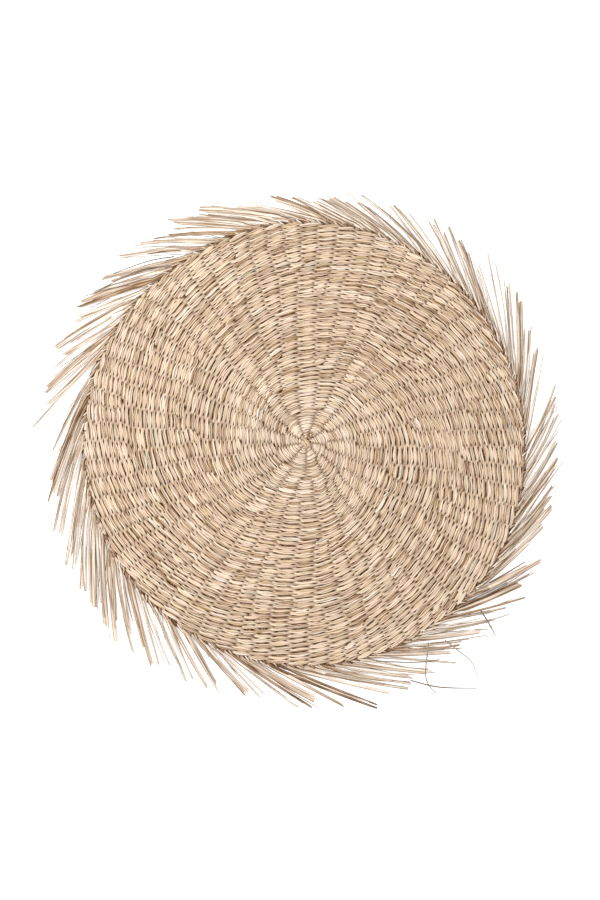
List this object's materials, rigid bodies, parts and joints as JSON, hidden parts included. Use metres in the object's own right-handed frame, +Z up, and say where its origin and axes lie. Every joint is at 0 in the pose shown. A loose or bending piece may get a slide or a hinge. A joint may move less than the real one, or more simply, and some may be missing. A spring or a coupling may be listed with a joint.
{
  "type": "seagrass placemat",
  "caption": "Round placemat twined from seagrass in rows round a hub, with a closing border and a swirling cut fringe.",
  "frame": {"origin": "hub of the weave on the underside, where the mat rests on the table", "axes": "+Z up, out of the side that a plate stands on; +Y towards the top of the picture; the fringe sweeps anticlockwise seen from +Z"},
  "size_m": [0.4356, 0.4341, 0.006],
  "materials": {
    "seagrass_weft": "matt dried seagrass, twined, straw and beige with brown and grey-green blades",
    "seagrass_stake_ends": "matt to faintly waxy dried seagrass blades, split and cut, pale straw to brown"
  },
  "bodies": {
    "root": {"woven_disc": "seagrass_weft", "border_fringe": "seagrass_stake_ends"}
  },
  "joints": []
}
